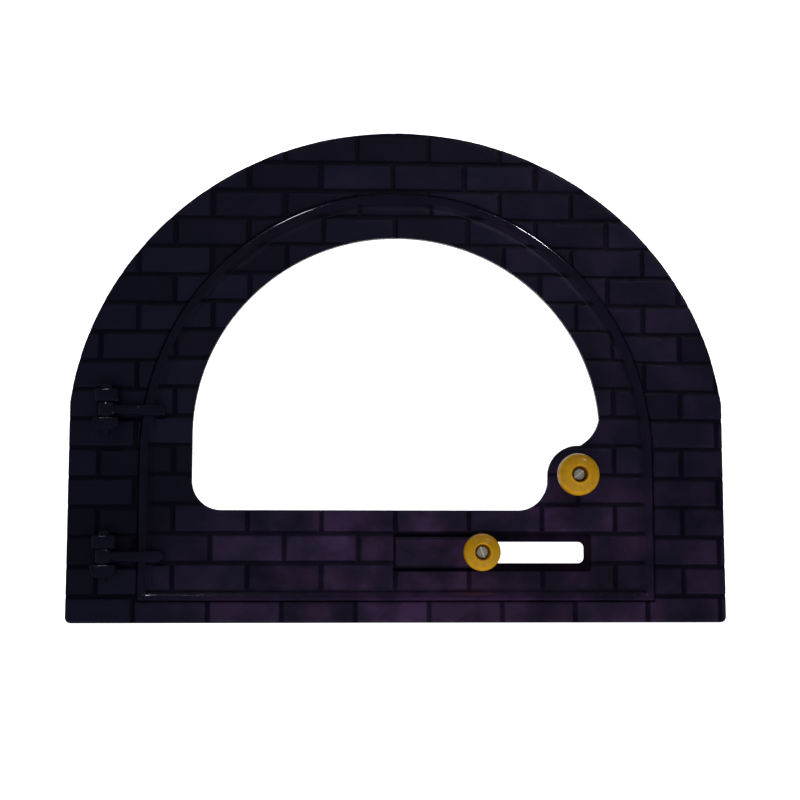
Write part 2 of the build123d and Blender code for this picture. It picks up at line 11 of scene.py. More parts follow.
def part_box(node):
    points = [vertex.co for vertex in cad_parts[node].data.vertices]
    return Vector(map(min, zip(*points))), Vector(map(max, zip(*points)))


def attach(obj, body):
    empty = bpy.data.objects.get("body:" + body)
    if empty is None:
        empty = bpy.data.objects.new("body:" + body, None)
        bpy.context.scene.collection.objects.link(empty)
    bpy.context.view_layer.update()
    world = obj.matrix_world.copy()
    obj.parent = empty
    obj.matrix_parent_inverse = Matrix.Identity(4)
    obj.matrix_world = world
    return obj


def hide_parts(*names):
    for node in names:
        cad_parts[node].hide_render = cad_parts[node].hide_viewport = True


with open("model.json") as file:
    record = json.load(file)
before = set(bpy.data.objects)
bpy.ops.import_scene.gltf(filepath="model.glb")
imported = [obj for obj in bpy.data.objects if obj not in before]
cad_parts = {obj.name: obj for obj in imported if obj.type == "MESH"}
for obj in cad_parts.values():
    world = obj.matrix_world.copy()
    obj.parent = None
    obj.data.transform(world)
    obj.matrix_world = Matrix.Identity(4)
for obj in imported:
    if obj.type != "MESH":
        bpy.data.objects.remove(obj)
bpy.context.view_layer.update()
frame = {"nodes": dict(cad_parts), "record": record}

bl_info = {
    "name": "Glass oven door",
    "version": (1, 0, 0),
    "blender": (4, 5, 0),
    "location": "3D View > Sidebar > Oven door",
    "description": "Cast relief, paint, varnish and glass for an arched oven door, with a small studio",
    "category": "Object",
}

# Lengths here are metres. +Z is up, the front faces -Y, and a depth is a distance forward of y = 0.
MM = 0.001

# Points that are nearer to each other or to a plane than a tolerance count as meeting, and a face under the
# least area as none
TOLERANCE = 1e-6
FINE_TOLERANCE = 1e-7
LEAST_AREA = 1e-14

# Outlines of the castings, as the frame has them
Arch = namedtuple("Arch", "half_width base spring crown centre")
LEAF_ARCH = Arch(199.5 * MM, 17.0 * MM, 130.0 * MM, 337.0 * MM, -1.0 * MM)
FRAME_ARCH = Arch(257.0 * MM, 0.0, 139.5 * MM, 387.0 * MM, 0.0)
FRAME_HALF_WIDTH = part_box("frame")[1].x

# Seed of the vector noise, which would otherwise differ from run to run
NOISE_SEED = 7

# Depths in the castings
FRAME_FRONT = 22.0 * MM
FRAME_FLOOR = 20.5 * MM
LEAF_FRONT = 22.4 * MM
LEAF_FLOOR = 20.9 * MM
CUT_BELOW_FLOOR = 0.3 * MM

# How far the frame's face drops at its outline, and how far a groove's floor waves
OUTLINE_DROP = 0.8 * MM
FLOOR_WAVINESS = 0.15 * MM

# Grid of the relief: fine steps beside each groove, coarse ones elsewhere
FINE_STEP = 0.62 * MM
FINE_STEPS_EACH_SIDE = 5
COARSE_STEP = 1.9 * MM

# Nodes that are one casting in the frame
REAR_NODES = ("seat_lip", "rear_skirt", "rear_bosses")
FRAME_NODES = ("frame", *REAR_NODES, "hinge_lugs")

# Running bond of each casting: height of the first bed, course height, brick length, and where one joint is
# in each of the two kinds of course
Bond = namedtuple("Bond", "bed_start course brick joints")
FRAME_BOND = Bond(20.5 * MM, 22.78 * MM, 56.8 * MM, (-5.0 * MM, 23.4 * MM))
LEAF_BOND = Bond(23.2 * MM, 22.72 * MM, 57.2 * MM, (-2.7 * MM, 26.0 * MM))

SLIDE_LOW, SLIDE_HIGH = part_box("damper_plate")
SLIDE_BOND = Bond(
    SLIDE_LOW.z, SLIDE_HIGH.z - SLIDE_LOW.z, SLIDE_HIGH.x - SLIDE_LOW.x, (SLIDE_LOW.x, SLIDE_LOW.x))

# Edge of the damper slide: how far it drops, and over what distance
SLIDE_EDGE_DROP = 0.9 * MM
SLIDE_EDGE_ROUND = 1.6 * MM

# Hinges
HINGE_X = -225.4 * MM
HINGE_DEPTH = 30.0 * MM
HINGE_HEIGHTS = (50.6 * MM, 163.0 * MM)
KNUCKLE_HEIGHT = 11.2 * MM
LUG_GAP = 0.4 * MM
LUG_HEIGHT = 10.2 * MM
LUG_WIDTH = 19.4 * MM
LUG_FRONT = 37.0 * MM
LUG_NOSE = 6.0 * MM
LUG_BELLY = 6.5 * MM
LUG_EDGE = 1.4 * MM
LUG_UNEVENNESS = 0.22 * MM
PIN_BORE = 3.1 * MM
KNUCKLE_RADIUS = 7.0 * MM
KNUCKLE_EDGE = 0.8 * MM

# Hinge arm: its sections from the knuckle to the toe, and how uneven and how square they are
ARM_UNEVENNESS = 0.3 * MM
ARM_SQUARENESS = 0.7
Station = namedtuple("Station", "x depth half_depth half_height")
ARM_STATIONS = [Station(*(value * MM for value in station)) for station in (
    (-223.4, 30.0, 4.6, 4.6), (-216.4, 29.6, 4.2, 4.3), (-208.6, 28.9, 3.5, 3.9), (-202.0, 28.3, 3.4, 4.0),
    (-196.4, 27.8, 3.6, 4.5), (-190.6, 26.9, 3.9, 4.9), (-185.8, 25.7, 3.7, 4.8), (-182.4, 24.3, 3.2, 4.0),
    (-180.5, 23.2, 2.2, 2.6))]

# Knobs: axis place, foot depth, radius, length
Knob = namedtuple("Knob", "x z back radius length")
LATCH_KNOB = Knob(137.3 * MM, 113.5 * MM, 24.7 * MM, 16.5 * MM, 26.0 * MM)
DAMPER_KNOB = Knob(62.8 * MM, 54.0 * MM, 24.4 * MM, 14.5 * MM, 23.0 * MM)
KNOB_HOLE_RADIUS = 5.9 * MM
KNOB_HOLE_DEPTH = 8.0 * MM
SCREW_BORE = 3.1 * MM
SCREW_SLOT_DEPTH = 1.5 * MM
SLOT_FLOORS = {name: -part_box(name)[0].y - SCREW_SLOT_DEPTH for name in ("latch_screw", "damper_screw")}

# Rim and the groove inside it: each step moves inwards by a length, to a depth
FIELD_INSET = 9.6 * MM
RIM_PARTS = 256
RIM_PROFILE = [(across * MM, depth * MM) for across, depth in (
    (0.05, 23.6), (0.15, 24.2), (0.25, 24.55), (0.55, 24.75), (0.55, 24.94), (0.5, 25.0), (0.75, 24.9),
    (1.3, 24.4), (1.3, 23.75), (1.2, 22.95), (1.0, 22.15), (0.7, 21.6), (0.6, 21.3), (0.6, 21.2),
    (0.6, 21.35), (0.5, 21.65), (0.3, 21.6), (0.2, 20.6))]

# Paint: middle of the plum patch, a painted warm reflection of light, how fast it fades along each axis, the
# depth whose shares tell the bricks from the rest, and the tone of that rest
PLUM_LIGHT_CENTRE = (40 * MM, 0.0, 30 * MM)
PLUM_LIGHT_FADE = (4.0, 0.0, 8.5)
PAINT_DEPTH = 30 * MM
REST_TONE = (0.7, 0.7, 0.75)

# Latch pad under the knob, and damage that the castings carry
LATCH_PAD_RADIUS = 12.0 * MM
LATCH_PAD_DEPTH = 22.4 * MM
CHIP_RAGGEDNESS = 0.35
Chip = namedtuple("Chip", "x z radius loss")
FRAME_CHIPS = (
    Chip(-86.0 * MM, 12.0 * MM, 4.5 * MM, 1.1 * MM),
    Chip(-83.0 * MM, 6.0 * MM, 3.0 * MM, 0.9 * MM),
)
LEAF_CHIPS = (
    Chip(-189.0 * MM, 64.0 * MM, 5.0 * MM, 0.9 * MM),
    Chip(-184.0 * MM, 60.0 * MM, 3.5 * MM, 0.9 * MM),
)
SunkenBrick = namedtuple("SunkenBrick", "left right top loss")
SUNKEN_BRICK = SunkenBrick(-33.4 * MM, 23.4 * MM, 20.5 * MM, 0.7 * MM)

# Stage: a paper floor that bends up into a wall, the lamps and the room's own light
FLOOR_HALF_SIZE = 2.5
FLOOR_MIDDLE = -1.0
WALL_HEIGHT = 3.0
WALL_BEND = 0.8
Lamp = namedtuple("Lamp", "name place target radius power cone in_gloss")
LAMPS = (
    Lamp("upper_right_lamp", (0.81, -0.99, 1.37), (0.11, 0, 0.29), 0.09, 26, radians(17), True),
    Lamp("upper_left_lamp", (-0.47, -1.11, 1.38), (-0.08, 0, 0.27), 0.09, 9, radians(19), True),
    Lamp("soft_fill", (-0.5, -1.3, 0.9), (0, 0, 0.15), 0.45, 14, radians(40), False),
)
LAMP_COLOR = (0.90, 0.94, 1.0)
ROOM_COLOR = (0.85, 0.88, 1.0, 1.0)
ROOM_STRENGTH = 0.06
SENSOR_WIDTH = 36.0


class OvenDoorRelief(bpy.types.PropertyGroup):
    """Sizes of the cast brick relief."""

    joint_half_width: FloatProperty(
        name="Joint half width", description="Half the width of the flat floor of a mortar groove",
        default=1.1 * MM, unit="LENGTH")
    edge_round: FloatProperty(
        name="Edge round", description="Distance over which a brick's edge rises to its face",
        default=1.3 * MM, unit="LENGTH")
    edge_wander: FloatProperty(
        name="Edge wander", description="How far a brick's edge strays from a straight line",
        default=0.55 * MM, unit="LENGTH")
    face_waviness: FloatProperty(
        name="Face waviness", description="Height of the slow waves on a brick's face",
        default=0.28 * MM, unit="LENGTH")
    brick_step: FloatProperty(
        name="Brick step", description="How much one brick stands higher or lower than the next",
        default=0.30 * MM, unit="LENGTH")
    rim_wobble: FloatProperty(
        name="Rim wobble", description="How far the raised rim strays from its line",
        default=0.35 * MM, unit="LENGTH")


class OvenDoorFinish(bpy.types.PropertyGroup):
    """Colours and gloss of the finishes."""

    paint: FloatVectorProperty(
        name="Paint", description="Blue-black paint on the castings", subtype="COLOR",
        default=(0.0042, 0.0042, 0.0130), min=0.0, max=1.0)
    # Painted light: a plum reflection painted onto the paint, lightest at the lower middle and to the right
    painted_plum_light: FloatVectorProperty(
        name="Warm paint", description="Plum tone of the paint at the lower middle", subtype="COLOR",
        default=(0.036, 0.015, 0.050), min=0.0, max=1.0)
    paint_roughness: FloatProperty(
        name="Paint roughness", description="Roughness of the smooth paint on the rim, arms and lugs",
        default=0.10, min=0.0, max=1.0, subtype="FACTOR")
    brick_roughness: FloatProperty(
        name="Brick roughness", description="Roughness of the paint on the brick faces",
        default=0.46, min=0.0, max=1.0, subtype="FACTOR")
    paint_gloss: FloatProperty(
        name="Paint gloss", description="Specular level of the paint", default=0.20, min=0.0, max=1.0,
        subtype="FACTOR")
    paint_sheen: FloatVectorProperty(
        name="Paint sheen", description="Tint of what the paint reflects", subtype="COLOR",
        default=(0.86, 0.82, 1.0), min=0.0, max=1.0)
    varnish: FloatVectorProperty(
        name="Varnish", description="Amber varnish on the knobs", subtype="COLOR",
        default=(0.47, 0.24, 0.0005), min=0.0, max=1.0)
    # Painted shade: the varnish is coloured darker in the screw hole and at the knob's edge
    varnish_shade: FloatVectorProperty(
        name="Dark varnish", description="Varnish in the screw hole and at the knob's edge", subtype="COLOR",
        default=(0.24, 0.095, 0.001), min=0.0, max=1.0)
    zinc: FloatVectorProperty(
        name="Zinc", description="Dull plating on screws, washers and clips", subtype="COLOR",
        default=(0.38, 0.39, 0.34), min=0.0, max=1.0)
    # Painted highlight: the colour of the glint painted into the screws' slots
    slot_glint: FloatVectorProperty(
        name="Bright zinc", description="Worn slots of the knobs' screws", subtype="COLOR",
        default=(1.0, 1.0, 0.92), min=0.0, max=1.0)
    steel: FloatVectorProperty(
        name="Steel", description="Oiled steel of the latch and the damper's back pieces", subtype="COLOR",
        default=(0.05, 0.05, 0.055), min=0.0, max=1.0)
    glass: FloatVectorProperty(
        name="Glass", description="Tint of the pane", subtype="COLOR",
        default=(0.97, 0.99, 0.985), min=0.0, max=1.0)
    tape: FloatVectorProperty(
        name="Tape", description="Woven glass-fibre tape behind the window's edge", subtype="COLOR",
        default=(0.55, 0.52, 0.46), min=0.0, max=1.0)


class OvenDoorStudio(bpy.types.PropertyGroup):
    """Camera and stage."""

    camera_place: FloatVectorProperty(
        name="Camera place", description="Where the camera stands", subtype="TRANSLATION", unit="LENGTH",
        default=(-0.0540, -1.1871, 0.0429))
    camera_turn: FloatVectorProperty(
        name="Camera turn", description="Tilt, roll and heading of the camera", subtype="EULER",
        unit="ROTATION", default=(radians(96.346), radians(-0.013), radians(-2.696)))
    lens: FloatProperty(
        name="Lens", description="Focal length in millimetres for a 36 mm sensor", default=67.5, min=10.0)
    backdrop: FloatVectorProperty(
        name="Backdrop", description="Colour of the floor and the wall", subtype="COLOR",
        default=(0.9, 0.9, 0.9), min=0.0, max=1.0)


def bm_object(name, bm):
    """New object at the origin that holds a finished bmesh."""
    mesh = bpy.data.meshes.new(name)
    bm.to_mesh(mesh)
    bm.free()
    piece = bpy.data.objects.new(name, mesh)
    bpy.context.scene.collection.objects.link(piece)
    return piece


def place(piece, body, material, nodes=()):
    """Give a piece its finish and its body, and let it stand for CAD nodes."""
    piece.data.materials.clear()
    piece.data.materials.append(material)
    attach(piece, body)
    if nodes:
        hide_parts(*nodes)


def shade_smooth(piece, angle=radians(40)):
    for polygon in piece.data.polygons:
        polygon.use_smooth = True
    piece.data.set_sharp_from_angle(angle=angle)


def cad_copy(node):
    """Merged copy of a CAD node's mesh."""
    bm = bmesh.new()
    bm.from_mesh(frame["nodes"][node].data)
    bmesh.ops.remove_doubles(bm, verts=bm.verts, dist=TOLERANCE)
    return bm


def cut_front(bm, depth):
    """Take away what stands forward of a depth and close the cut."""
    geom = bm.verts[:] + bm.edges[:] + bm.faces[:]
    cut = bmesh.ops.bisect_plane(
        bm, geom=geom, dist=FINE_TOLERANCE, plane_co=(0, -depth, 0), plane_no=(0, -1, 0), clear_outer=True)
    edges = [item for item in cut["geom_cut"] if isinstance(item, bmesh.types.BMEdge)]
    filled = bmesh.ops.triangle_fill(bm, use_beauty=True, use_dissolve=False, edges=edges, normal=(0, -1, 0))
    return [item for item in filled["geom"] if isinstance(item, bmesh.types.BMFace)]


def section_prism(name, node, depth, back, front):
    """Prism with the outline that a CAD node has at one depth."""
    bm = cad_copy(node)
    section = cut_front(bm, depth)
    bmesh.ops.delete(bm, geom=list(set(bm.faces) - set(section)), context="FACES")
    bmesh.ops.translate(bm, verts=bm.verts, vec=(0, depth - back, 0))
    grown = bmesh.ops.extrude_face_region(bm, geom=bm.faces[:])
    moved = [item for item in grown["geom"] if isinstance(item, bmesh.types.BMVert)]
    bmesh.ops.translate(bm, verts=moved, vec=(0, back - front, 0))
    bmesh.ops.recalc_face_normals(bm, faces=bm.faces)
    return bm_object(name, bm)


def boolean(piece, cutter, operation):
    """Cut a piece with another object, which is then removed."""
    modifier = piece.modifiers.new("cut", "BOOLEAN")
    modifier.object = cutter
    modifier.operation = operation
    modifier.solver = "EXACT"
    depsgraph = bpy.context.evaluated_depsgraph_get()
    mesh = bpy.data.meshes.new_from_object(piece.evaluated_get(depsgraph))
    piece.modifiers.clear()
    old = piece.data
    piece.data = mesh
    bpy.data.meshes.remove(old)
    bpy.data.objects.remove(cutter)


def joined(name, pieces):
    """One object from several, with the meshes kept as they are."""
    bm = bmesh.new()
    for piece in pieces:
        bm.from_mesh(piece.data)
        bpy.data.objects.remove(piece)
    return bm_object(name, bm)


def smooth_step(value):
    value = min(max(value, 0.0), 1.0)
    return value * value * (3 - 2 * value)


def wave(x, z, size, seed):
    """Smooth noise from -1 to 1 on the face of a casting."""
    return noise.noise(Vector((x / size, z / size, seed)))


def inside_arch(arch, x, z):
    """Rough distance of a point inside an arch outline, negative outside."""
    across = abs(x - arch.centre)
    if z < arch.spring:
        return min(arch.half_width - across, z - arch.base)
    rise = arch.crown - arch.spring
    ratio = hypot(across / arch.half_width, (z - arch.spring) / rise)
    return (1 - ratio) * (arch.half_width + rise) / 2


def brick_at(bond, x, z):
    """Course and brick number at a place, with its distances to the nearest bed and joint."""
    level = (z - bond.bed_start) / bond.course
    course = floor(level)
    along = (x - bond.joints[course % 2]) / bond.brick
    brick = floor(along)
    to_bed = min(level - course, course + 1 - level) * bond.course
    to_joint = min(along - brick, brick + 1 - along) * bond.brick
    return course, brick, to_bed, to_joint


def brick_height(bond, relief, x, z, seed):
    """Height of the cast brickwork over its groove floor, as a share of the relief, and its added waves."""
    wander = relief.edge_wander
    stray_x = wander * wave(x, z, 7 * MM, seed) + wander * wave(x, z, 23 * MM, seed + 3)
    stray_z = wander * wave(x, z, 7 * MM, seed + 5) + wander * wave(x, z, 31 * MM, seed + 7)
    course, brick, to_bed, to_joint = brick_at(bond, x, z)
    own = noise.cell(Vector((course * 3.7 + 0.5, brick * 5.3 + 0.5, seed + 0.5)))
    lean = noise.cell(Vector((brick * 2.9 + 0.5, course * 4.1 + 0.5, seed + 9.5))) - 0.5
    shrink = relief.joint_half_width * (0.9 + 0.5 * own)
    edge = min(to_bed + stray_z, to_joint + stray_x) - shrink
    rise = smooth_step(edge / relief.edge_round)
    middle = (to_bed / bond.course) * lean
    waves = relief.face_waviness * wave(x, z, 17 * MM, seed + 11) + relief.brick_step * (own - 0.5 + middle)
    return rise, waves * rise


def grid_lines(start, stop, centres):
    """Grid lines over a span, close together round each centre and wider between them."""
    near = [step * FINE_STEP for step in range(-FINE_STEPS_EACH_SIDE, FINE_STEPS_EACH_SIDE + 1)]
    lines = sorted({round(centre + offset, 6) for centre in centres for offset in near})
    lines = [line for line in lines if start < line < stop]
    lines = [start] + lines + [stop]
    filled = [start]
    for left, right in zip(lines, lines[1:]):
        count = max(1, round((right - left) / COARSE_STEP))
        filled += [left + (right - left) * step / count for step in range(1, count + 1)]
    return filled


def bond_centres(bond, reach):
    """Every place along X where either kind of course has a joint, and every bed's height."""
    count = int(reach / bond.brick) + 2
    joints = [first + step * bond.brick for first in bond.joints for step in range(-count, count + 1)]
    beds = [bond.bed_start + step * bond.course for step in range(-2, int(2 * reach / bond.course) + 2)]
    return joints, beds


def relief_sheet(name, bond, extent, back, depth_at):
    """Slab whose front carries a relief; depth_at gives its depth at a place."""
    left, right, bottom, top = extent
    joints, beds = bond_centres(bond, right - left)
    columns = grid_lines(left, right, joints)
    rows = grid_lines(bottom, top, beds)
    bm = bmesh.new()
    bmesh.ops.create_grid(bm, x_segments=len(columns) - 1, y_segments=len(rows) - 1, size=0.5)
    for vert in bm.verts:
        column = round((vert.co.x + 0.5) * (len(columns) - 1))
        row = round((vert.co.y + 0.5) * (len(rows) - 1))
        x, z = columns[column], rows[row]
        vert.co = (x, -depth_at(x, z), z)
    rim = [edge for edge in bm.edges if edge.is_boundary]
    wall = bmesh.ops.extrude_edge_only(bm, edges=rim)
    for item in wall["geom"]:
        if isinstance(item, bmesh.types.BMVert):
            item.co.y = -back
    bmesh.ops.holes_fill(bm, edges=[edge for edge in bm.edges if edge.is_boundary], sides=0)
    bmesh.ops.recalc_face_normals(bm, faces=bm.faces)
    return bm_object(name, bm)


def chipped_off(chips, x, z):
    """Depth lost to the chips at a place."""
    lost = 0.0
    for chip in chips:
        far = hypot(x - chip.x, z - chip.z) / chip.radius + CHIP_RAGGEDNESS * wave(x, z, 4 * MM, 17.0)
        lost += chip.loss * (1 - smooth_step((far - 0.5) / 0.6))
    return lost


def frame_depth(relief, x, z):
    """Depth of the frame's face at a place."""
    rise, waves = brick_height(FRAME_BOND, relief, x, z, 1.0)
    outline = min(inside_arch(FRAME_ARCH, x, z), FRAME_HALF_WIDTH - abs(x))
    opening = -inside_arch(LEAF_ARCH, x, z)
    edge = min(outline, opening) / relief.edge_round
    drop = OUTLINE_DROP * (1 - smooth_step(edge))
    low = FLOOR_WAVINESS * wave(x, z, 5 * MM, 31.0)
    depth = FRAME_FLOOR + (FRAME_FRONT - FRAME_FLOOR) * rise + waves + low * (1 - rise) - drop * rise
    if SUNKEN_BRICK.left < x < SUNKEN_BRICK.right and z < SUNKEN_BRICK.top:
        depth -= SUNKEN_BRICK.loss * rise
    return depth - chipped_off(FRAME_CHIPS, x, z) * rise


def leaf_depth(relief, x, z):
    """Depth of the leaf's face at a place, with the groove inside its rim."""
    rise, waves = brick_height(LEAF_BOND, relief, x, z, 2.0)
    stray = relief.edge_wander * wave(x, z, 9 * MM, 41.0)
    pad = smooth_step((inside_arch(LEAF_ARCH, x, z) - FIELD_INSET + stray) / relief.edge_round)
    low = FLOOR_WAVINESS * wave(x, z, 5 * MM, 37.0)
    share = min(rise, pad)
    depth = LEAF_FLOOR + (LEAF_FRONT - LEAF_FLOOR) * share + (waves + low * (1 - share)) * pad
    depth -= chipped_off(LEAF_CHIPS, x, z) * share
    seat = smooth_step((hypot(x - LATCH_KNOB.x, z - LATCH_KNOB.z) - LATCH_PAD_RADIUS) / (2 * MM))
    return LATCH_PAD_DEPTH + (depth - LATCH_PAD_DEPTH) * seat


def arch_face(bm, arch, depth, parts):
    """Flat face with an arch's outline, at a depth and with evenly spaced points."""
    rise = arch.crown - arch.spring
    disc = bmesh.ops.create_circle(bm, cap_ends=True, segments=parts, radius=1.0)
    bmesh.ops.scale(bm, verts=disc["verts"], vec=(arch.half_width, rise, 1.0))
    bmesh.ops.rotate(bm, verts=disc["verts"], matrix=Matrix.Rotation(pi / 2, 3, "X"))
    bmesh.ops.translate(bm, verts=disc["verts"], vec=(arch.centre, -depth, arch.spring))
    geom = bm.verts[:] + bm.edges[:] + bm.faces[:]
    bmesh.ops.bisect_plane(
        bm, geom=geom, dist=FINE_TOLERANCE, plane_co=(0, 0, arch.spring), plane_no=(0, 0, -1),
        clear_outer=True)
    cut = [edge for edge in bm.edges
           if all(abs(vert.co.z - arch.spring) < TOLERANCE for vert in edge.verts)]
    legs = bmesh.ops.extrude_edge_only(bm, edges=cut)
    for item in legs["geom"]:
        if isinstance(item, bmesh.types.BMVert):
            item.co.z = arch.base
    bmesh.ops.dissolve_faces(bm, faces=bm.faces[:], use_verts=False)
    spacing = pi * arch.half_width / parts * 2
    for edge in [edge for edge in bm.edges if edge.calc_length() > 2 * spacing]:
        cuts = round(edge.calc_length() / spacing)
        bmesh.ops.subdivide_edges(bm, edges=[edge], cuts=cuts, use_grid_fill=False)
    return bm.faces[:][0]


def rim_bead(relief):
    """Raised rim round the leaf: a rounded bead that is highest near its outer edge."""
    bm = bmesh.new()
    last, inset = LEAF_FLOOR - CUT_BELOW_FLOOR, 0.0
    face = arch_face(bm, LEAF_ARCH, last, RIM_PARTS)
    outer = list(face.edges)
    for thickness, depth in RIM_PROFILE:
        bmesh.ops.inset_region(
            bm, faces=[face], thickness=thickness, depth=0.0, use_even_offset=False, use_boundary=True)
        inset += thickness
        for side in (-1, 1):
            across = LEAF_ARCH.centre + side * (LEAF_ARCH.half_width - inset)
            corner = Vector((across, -last, LEAF_ARCH.base + inset))
            min(face.verts, key=lambda vert: (vert.co - corner).length).co = corner
        bmesh.ops.translate(bm, verts=face.verts, vec=(0, last - depth, 0))
        last = depth
    inner = list(face.edges)
    bmesh.ops.delete(bm, geom=[face], context="FACES_ONLY")
    bmesh.ops.bridge_loops(bm, edges=[edge for edge in outer + inner if edge.is_valid and edge.is_boundary])
    for vert in bm.verts:
        x, z = vert.co.x, vert.co.z
        vert.co.y += relief.rim_wobble * wave(x, z, 26 * MM, 51.0) * (vert.co.y < -LEAF_FRONT)
        vert.co.y += 0.3 * relief.rim_wobble * wave(x, z, 8 * MM, 53.0) * (vert.co.y < -LEAF_FLOOR)
    bmesh.ops.recalc_face_normals(bm, faces=bm.faces)
    return bm_object("rim_bead", bm)


def spun(name, points, axis_place, steps, turn=None):
    """Closed ring spun from (radius, height) points about an upright axis, then turned and placed."""
    bm = bmesh.new()
    verts = [bm.verts.new((radius, 0, height)) for radius, height in points]
    edges = [bm.edges.new((a, b)) for a, b in zip(verts, verts[1:] + verts[:1])]
    bmesh.ops.spin(bm, geom=verts + edges, cent=(0, 0, 0), axis=(0, 0, 1), angle=2 * pi, steps=steps,
                   use_merge=True, use_duplicate=False)
    bmesh.ops.remove_doubles(bm, verts=bm.verts, dist=FINE_TOLERANCE)
    bmesh.ops.recalc_face_normals(bm, faces=bm.faces)
    if turn:
        bmesh.ops.rotate(bm, verts=bm.verts, matrix=turn)
    bmesh.ops.translate(bm, verts=bm.verts, vec=axis_place)
    return bm_object(name, bm)


def roughened(bm, amount, size, seed):
    """Stray every point a little, as a sand casting does."""
    noise.seed_set(NOISE_SEED)
    for vert in bm.verts:
        vert.co += amount * noise.noise_vector(vert.co / size + Vector((0, 0, seed)))


def bevel(bm, edges, offset, segments):
    bmesh.ops.bevel(bm, geom=edges, offset=offset, offset_type="OFFSET", segments=segments, profile=0.5,
                    affect="EDGES", material=-1, clamp_overlap=True)


def hinge_lug(bottom, hanging):
    """One cast lug: its nose is rounded above the knuckle, and its belly where it hangs below."""
    back = FRAME_FLOOR - CUT_BELOW_FLOOR
    bm = bmesh.new()
    bmesh.ops.create_cube(bm, size=1.0)
    bmesh.ops.scale(bm, verts=bm.verts, vec=(LUG_WIDTH, LUG_FRONT - back, LUG_HEIGHT))
    bmesh.ops.translate(bm, verts=bm.verts, vec=(HINGE_X, -(LUG_FRONT + back) / 2, bottom + LUG_HEIGHT / 2))

    def runs(edge, direction):
        return abs((edge.verts[1].co - edge.verts[0].co).normalized().dot(direction)) > 0.9

    if hanging:
        middle = bottom + LUG_HEIGHT / 2
        low = [e for e in bm.edges if runs(e, Vector((0, 1, 0))) and e.verts[0].co.z < middle]
        bevel(bm, low, LUG_BELLY, 6)
    else:
        nose = [e for e in bm.edges if runs(e, Vector((0, 0, 1))) and e.verts[0].co.y < -FRAME_FRONT]
        bevel(bm, nose, LUG_NOSE, 5)
    bmesh.ops.recalc_face_normals(bm, faces=bm.faces)
    sharp = [e for e in bm.edges
             if e.calc_face_angle(0) > radians(50) and min(v.co.y for v in e.verts) < -FRAME_FRONT]
    bevel(bm, sharp, LUG_EDGE, 3)
    bmesh.ops.triangulate(bm, faces=[face for face in bm.faces if len(face.verts) > 4])
    long = [e for e in bm.edges if e.calc_length() > 3 * MM]
    bmesh.ops.subdivide_edges(bm, edges=long, cuts=2, use_grid_fill=True)
    roughened(bm, LUG_UNEVENNESS, 6 * MM, bottom * 100)
    return bm_object("lug", bm)


def hinge_arm(height):
    """Cast arm that swells over the rim and ends in a rounded toe, with its bored knuckle."""
    bm = bmesh.new()
    first = ARM_STATIONS[0]
    ring = bmesh.ops.create_circle(bm, cap_ends=True, segments=28, radius=1.0)
    for vert in ring["verts"]:
        for axis in (0, 1):
            vert.co[axis] = abs(vert.co[axis]) ** ARM_SQUARENESS * (1 if vert.co[axis] > 0 else -1)
    bmesh.ops.rotate(bm, verts=bm.verts, matrix=Matrix.Rotation(pi / 2, 3, "Y"))
    bmesh.ops.scale(bm, verts=bm.verts, vec=(1, first.half_depth, first.half_height))
    bmesh.ops.translate(bm, verts=bm.verts, vec=(first.x, -first.depth, height))
    face = bm.faces[:][0]
    for before, after in zip(ARM_STATIONS, ARM_STATIONS[1:]):
        grown = bmesh.ops.extrude_face_region(bm, geom=[face])
        face = [item for item in grown["geom"] if isinstance(item, bmesh.types.BMFace)][0]
        verts = face.verts[:]
        scale = (1, after.half_depth / before.half_depth, after.half_height / before.half_height)
        bmesh.ops.scale(bm, verts=verts, vec=scale, space=Matrix.Translation((0, before.depth, -height)))
        bmesh.ops.translate(bm, verts=verts, vec=(after.x - before.x, before.depth - after.depth, 0))
    bmesh.ops.recalc_face_normals(bm, faces=bm.faces)
    long = [e for e in bm.edges if e.calc_length() > 2.5 * MM and e.is_manifold]
    bmesh.ops.subdivide_edges(bm, edges=long, cuts=2, use_grid_fill=True)
    roughened(bm, ARM_UNEVENNESS, 7 * MM, height * 90)
    arm = bm_object("arm", bm)
    half = KNUCKLE_HEIGHT / 2
    inner = KNUCKLE_RADIUS - KNUCKLE_EDGE
    points = [
        (PIN_BORE, -half), (inner, -half), (KNUCKLE_RADIUS, KNUCKLE_EDGE - half), (KNUCKLE_RADIUS, 0),
        (KNUCKLE_RADIUS, half - KNUCKLE_EDGE), (inner, half), (PIN_BORE, half)]
    return [arm, spun("knuckle", points, (HINGE_X, -HINGE_DEPTH, height), steps=40)]


def turned_knob(name, knob, body, node, material):
    """Turned wooden knob with a waist, a belly and a lip round its sunk screw hole."""
    radius, length = knob.radius, knob.length
    seat = length - KNOB_HOLE_DEPTH
    lip = KNOB_HOLE_RADIUS + 1.6 * MM
    points = [
        (SCREW_BORE, 0), (radius * 0.60, 0), (radius * 0.635, length * 0.02),
        (radius * 0.645, length * 0.12), (radius * 0.68, length * 0.24), (radius * 0.80, length * 0.38),
        (radius * 0.93, length * 0.50),
        (radius * 0.99, length * 0.60), (radius * 0.998, length * 0.67), (radius * 0.97, length * 0.76),
        (radius * 0.91, length * 0.845), (radius * 0.82, length * 0.905), (radius * 0.70, length * 0.945),
        (radius * 0.60, length * 0.968), (lip + 0.4 * MM, length * 0.985), (lip - 0.2 * MM, length * 0.999),
        (lip - 0.9 * MM, length * 0.998), (KNOB_HOLE_RADIUS + 0.15 * MM, length - 0.5 * MM),
        (KNOB_HOLE_RADIUS, length - 1.3 * MM), (KNOB_HOLE_RADIUS, seat + 0.3 * MM), (KNOB_HOLE_RADIUS, seat),
        (SCREW_BORE, seat), (SCREW_BORE, seat / 2)]
    turn = Matrix.Rotation(pi / 2, 3, "X")
    piece = spun(name, points, (knob.x, -knob.back, knob.z), steps=64, turn=turn)
    smooth = piece.modifiers.new("smooth", "SUBSURF")
    smooth.levels = smooth.render_levels = 1
    shade_smooth(piece, radians(60))
    place(piece, body, material, [node])


